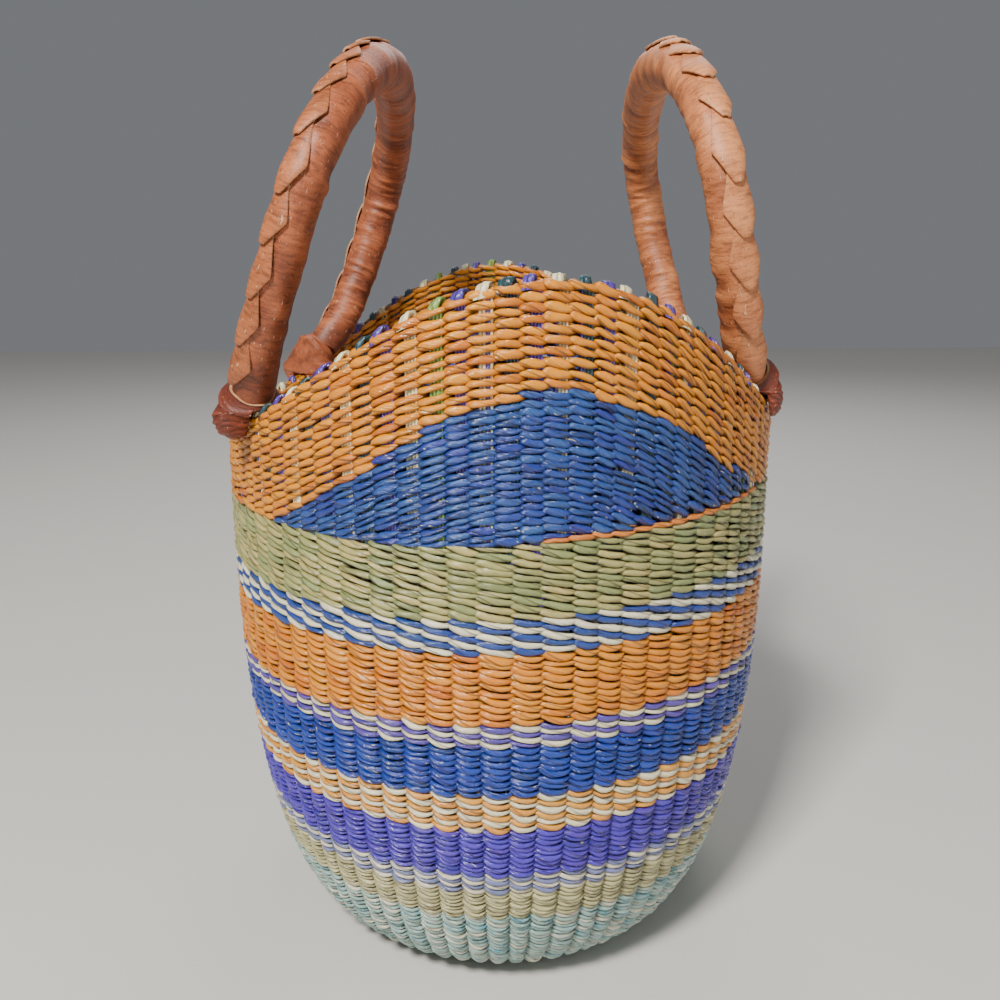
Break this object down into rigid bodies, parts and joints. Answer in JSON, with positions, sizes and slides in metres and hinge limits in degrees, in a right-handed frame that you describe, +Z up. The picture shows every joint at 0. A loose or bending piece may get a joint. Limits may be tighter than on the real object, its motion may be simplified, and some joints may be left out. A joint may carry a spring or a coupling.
{
  "type": "bolga basket",
  "caption": "Twined grass shopping basket with a domed foot, raised ends, coloured bands and two leather-covered loop handles that swing on the rim.",
  "frame": {"origin": "on the ground, under the middle of the basket's bounding box", "axes": "+Z up, X from handle to handle, Y from one raised end of the rim to the other, with -Y the end seen in the picture"},
  "size_m": [0.281, 0.333, 0.444],
  "materials": {
    "base_mat": "natural and teal grass, matt",
    "weft_teal": "teal and cream grass, satin",
    "weft_olive": "olive grass, satin",
    "weft_grey": "cream and grey-blue grass, satin",
    "weft_purple": "purple grass, satin",
    "weft_peach": "cream and orange grass, satin",
    "weft_blue": "blue grass, satin",
    "weft_lilac": "cream and purple grass, satin",
    "weft_orange": "orange grass, satin",
    "weft_navy": "cream and navy grass, satin",
    "weft_green": "sage green grass, satin",
    "wedge_near": "navy grass, satin",
    "wedge_far": "navy grass, satin",
    "weft_gold": "golden orange grass, satin",
    "rim_border": "mixed grass, satin",
    "straw": "plain straw",
    "leather": "reddish tan hide, semi-gloss",
    "cuff_leather": "dark reddish tan hide, semi-gloss"
  },
  "bodies": {
    "basket": {"base_mat": "base_mat", "weft_teal": "weft_teal", "weft_olive": "weft_olive", "weft_grey": "weft_grey", "weft_purple": "weft_purple", "weft_peach": "weft_peach", "weft_blue": "weft_blue", "weft_lilac": "weft_lilac", "weft_orange": "weft_orange", "weft_navy": "weft_navy", "weft_green": "weft_green", "wedge_near": "wedge_near", "wedge_far": "wedge_far", "weft_gold": "weft_gold", "rim_border": "rim_border", "left_near_cuff": "cuff_leather", "left_far_cuff": "cuff_leather", "right_near_cuff": "cuff_leather", "right_far_cuff": "cuff_leather"},
    "left_handle": {"left_core": "straw", "left_sleeve": "leather", "left_plait": "leather"},
    "right_handle": {"right_core": "straw", "right_sleeve": "leather", "right_plait": "leather"}
  },
  "joints": [
    {"name": "left_handle_swing", "type": "hinge", "parent": "basket", "child": "left_handle", "pos_m": [-0.11021, -0.002, 0.28074], "axis": [0.038, 0.9992, 0.0085], "range_deg": [-52, 16], "deforming": ["left_near_cuff", "left_far_cuff"]},
    {"name": "right_handle_swing", "type": "hinge", "parent": "basket", "child": "right_handle", "pos_m": [0.11406, 0.00113, 0.2849], "axis": [0.0269, 0.9996, -0.0096], "range_deg": [-23, 45], "deforming": ["right_near_cuff", "right_far_cuff"]}
  ]
}
